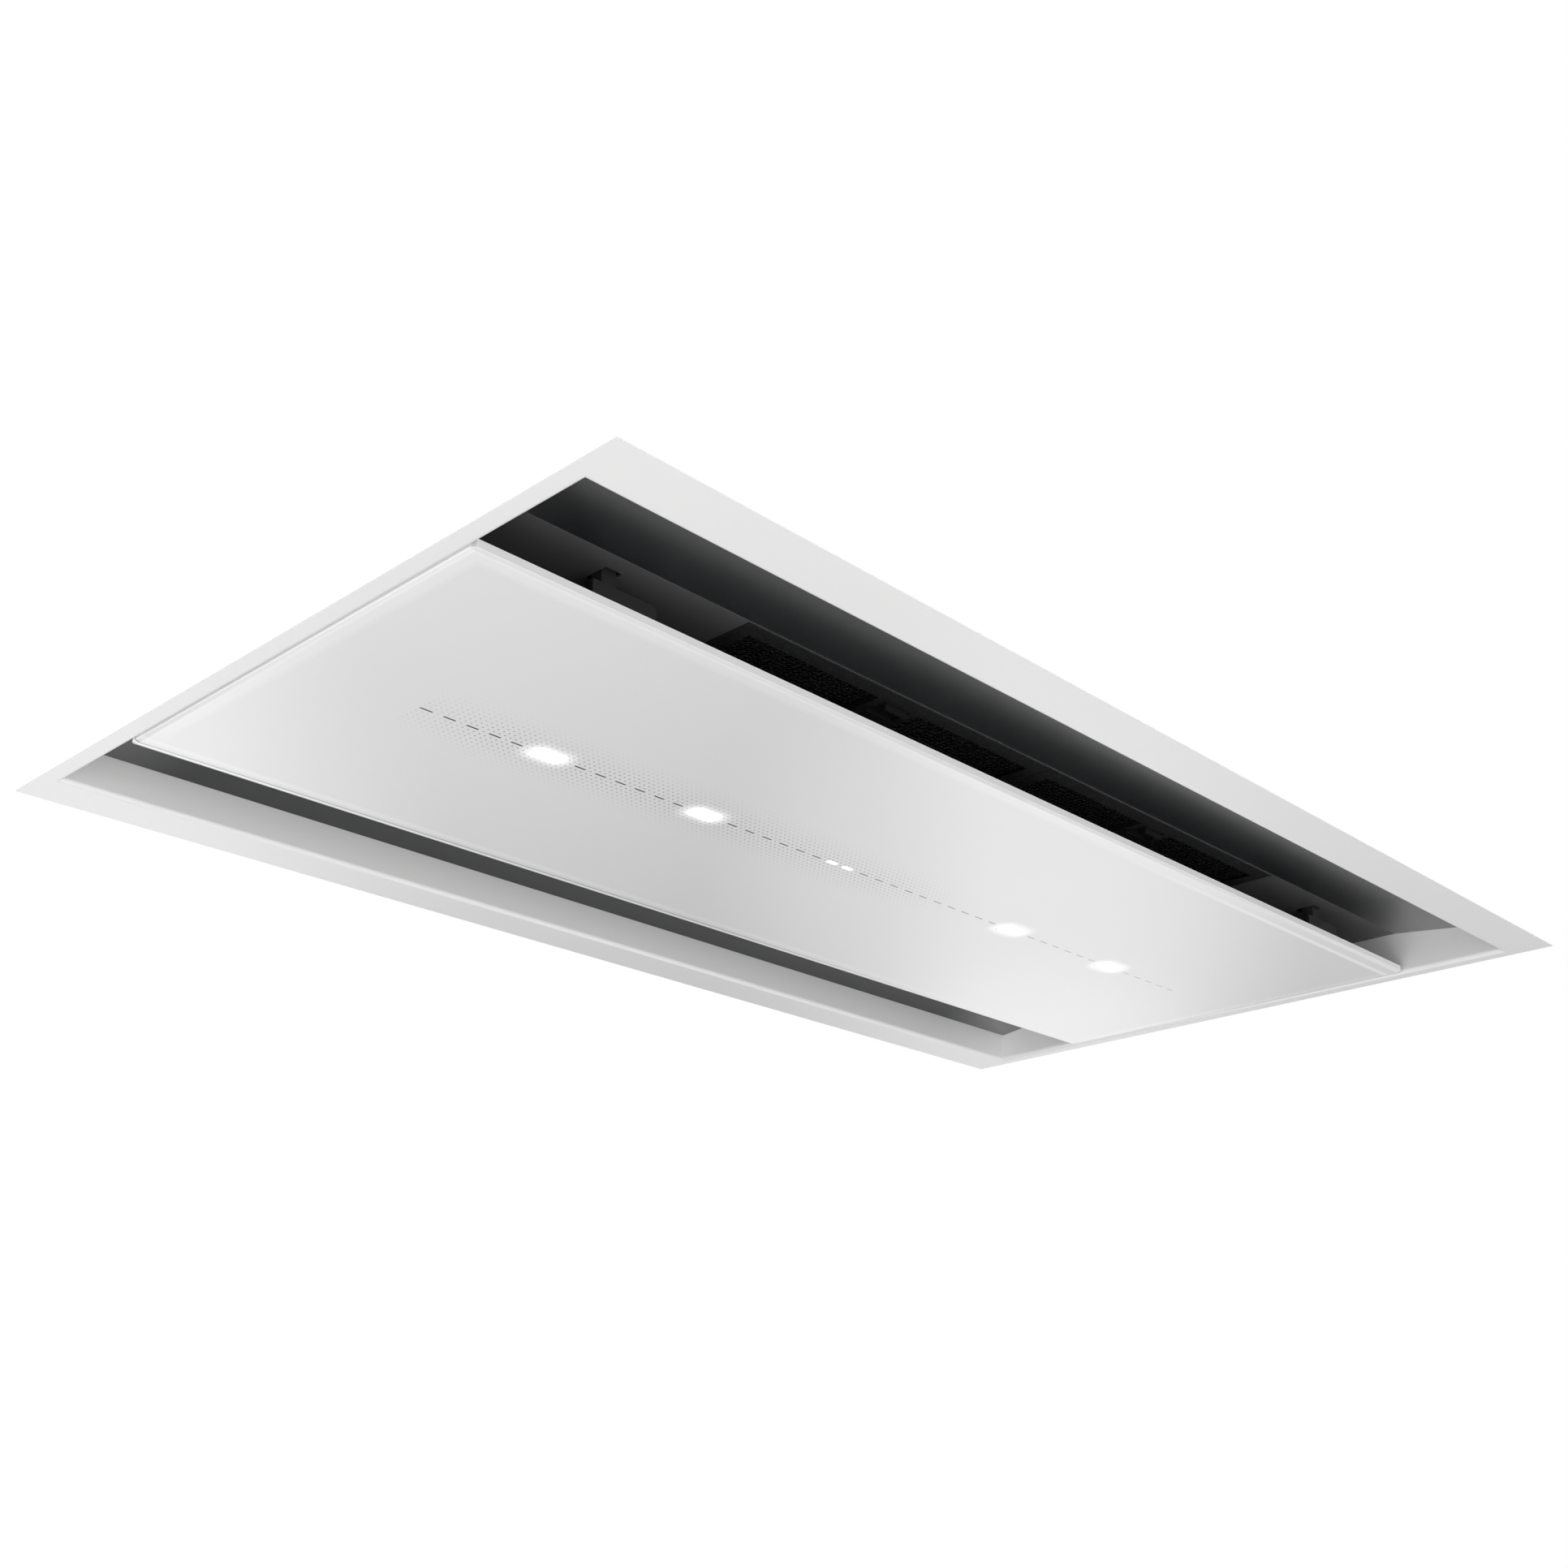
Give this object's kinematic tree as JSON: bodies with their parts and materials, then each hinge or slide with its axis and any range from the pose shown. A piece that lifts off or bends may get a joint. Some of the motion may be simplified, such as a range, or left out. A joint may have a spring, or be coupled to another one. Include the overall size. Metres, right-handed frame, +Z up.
{
  "type": "ceiling range hood",
  "caption": "Flush ceiling extractor hood with a hinged white glass panel, perimeter suction gap, grease filters and a blower box.",
  "frame": {"origin": "middle of the visible underside of the frame, in the plane of its flange", "axes": "+X along the long side, +Y towards the hinged side of the glass panel, +Z up into the ceiling"},
  "size_m": [0.9, 0.5, 0.299],
  "materials": {
    "white_paint": "satin white powder coat",
    "black_paint": "satin black powder coat",
    "white_glass": "glossy back-painted white glass",
    "lamp_lens": "frosted diffuser",
    "filter_metal": "black coated expanded aluminium",
    "galvanised_steel": "galvanised sheet steel",
    "bright_steel": "zinc-plated steel",
    "black_plastic": "moulded black plastic",
    "motor_paint": "dark grey motor housing",
    "can_aluminium": "drawn aluminium",
    "circuit_green": "circuit board with parts"
  },
  "bodies": {
    "hood": {"front_rail": "white_paint", "rear_rail": "white_paint", "left_rail": "white_paint", "right_rail": "white_paint", "intake_sheet": "black_paint", "casing_front_wall": "galvanised_steel", "casing_rear_wall": "galvanised_steel", "casing_left_wall": "galvanised_steel", "casing_right_wall": "galvanised_steel", "casing_top": "galvanised_steel", "casing_screws": "bright_steel", "blower_box": "galvanised_steel", "blower_box_lid": "galvanised_steel", "blower_box_screws": "bright_steel", "inlet_ring": "galvanised_steel", "scroll_base": "galvanised_steel", "scroll_wrap": "galvanised_steel", "scroll_cover": "galvanised_steel", "motor": "motor_paint", "outlet_adaptor": "black_plastic", "outlet_spigot": "black_plastic", "flap_pin": "bright_steel", "control_box": "galvanised_steel", "control_box_cover": "galvanised_steel", "control_board": "circuit_green", "motor_capacitor": "can_aluminium", "cable_gland": "black_plastic", "hinge_pins": "bright_steel", "suspension_bracket_1": "galvanised_steel", "suspension_bracket_2": "galvanised_steel", "suspension_bracket_3": "galvanised_steel", "suspension_bracket_4": "galvanised_steel", "panel_catch_left": "black_plastic", "hinge_bracket_left": "black_paint", "filter_frame_left": "filter_metal", "filter_mesh_left": "filter_metal", "panel_catch_right": "black_plastic", "hinge_bracket_right": "black_paint", "filter_frame_right": "filter_metal", "filter_mesh_right": "filter_metal"},
    "panel": {"glass_panel": "white_glass", "panel_tray": "galvanised_steel", "led_modules": "can_aluminium", "signal_lights": "lamp_lens", "lamp_lens_1": "lamp_lens", "lamp_lens_2": "lamp_lens", "lamp_lens_3": "lamp_lens", "lamp_lens_4": "lamp_lens", "latch_bracket_left": "black_paint", "hinge_leaf_left": "black_paint", "latch_bracket_right": "black_paint", "hinge_leaf_right": "black_paint"},
    "blower_wheel": {"impeller": "galvanised_steel", "motor_shaft": "bright_steel", "impeller_nut": "bright_steel"},
    "filter_latch_left": {"filter_latch_left": "filter_metal"},
    "filter_latch_right": {"filter_latch_right": "filter_metal"},
    "flap_left": {"backdraft_flap_left": "black_plastic"},
    "flap_right": {"backdraft_flap_right": "black_plastic"}
  },
  "joints": [
    {"name": "panel_hinge", "type": "hinge", "parent": "hood", "child": "panel", "pos_m": [0, 0.136, 0.016], "axis": [1, 0, 0], "range_deg": [0, 90]},
    {"name": "blower_spin", "type": "hinge", "parent": "hood", "child": "blower_wheel", "pos_m": [-0.04, 0.06, 0.19], "axis": [0, 0, 1], "continuous": true},
    {"name": "latch_slide_left", "type": "slide", "parent": "hood", "child": "filter_latch_left", "axis": [0, 1, 0], "range_m": [0, 0.004], "stiffness_N_per_m": 400, "springref_m": -0.002},
    {"name": "latch_slide_right", "type": "slide", "parent": "hood", "child": "filter_latch_right", "axis": [0, 1, 0], "range_m": [0, 0.004], "stiffness_N_per_m": 400, "springref_m": -0.002},
    {"name": "flap_left_swing", "type": "hinge", "parent": "hood", "child": "flap_left", "pos_m": [0.174, 0, 0.197], "axis": [0, 0, -1], "range_deg": [0, 75], "stiffness_Nm_per_rad": 0.02},
    {"name": "flap_right_swing", "type": "hinge", "parent": "hood", "child": "flap_right", "pos_m": [0.174, 0, 0.197], "axis": [0, 0, 1], "range_deg": [0, 75], "stiffness_Nm_per_rad": 0.02}
  ],
  "couplings": [
    {"joint": "flap_right_swing", "follows": "flap_left_swing", "ratio": 1}
  ]
}
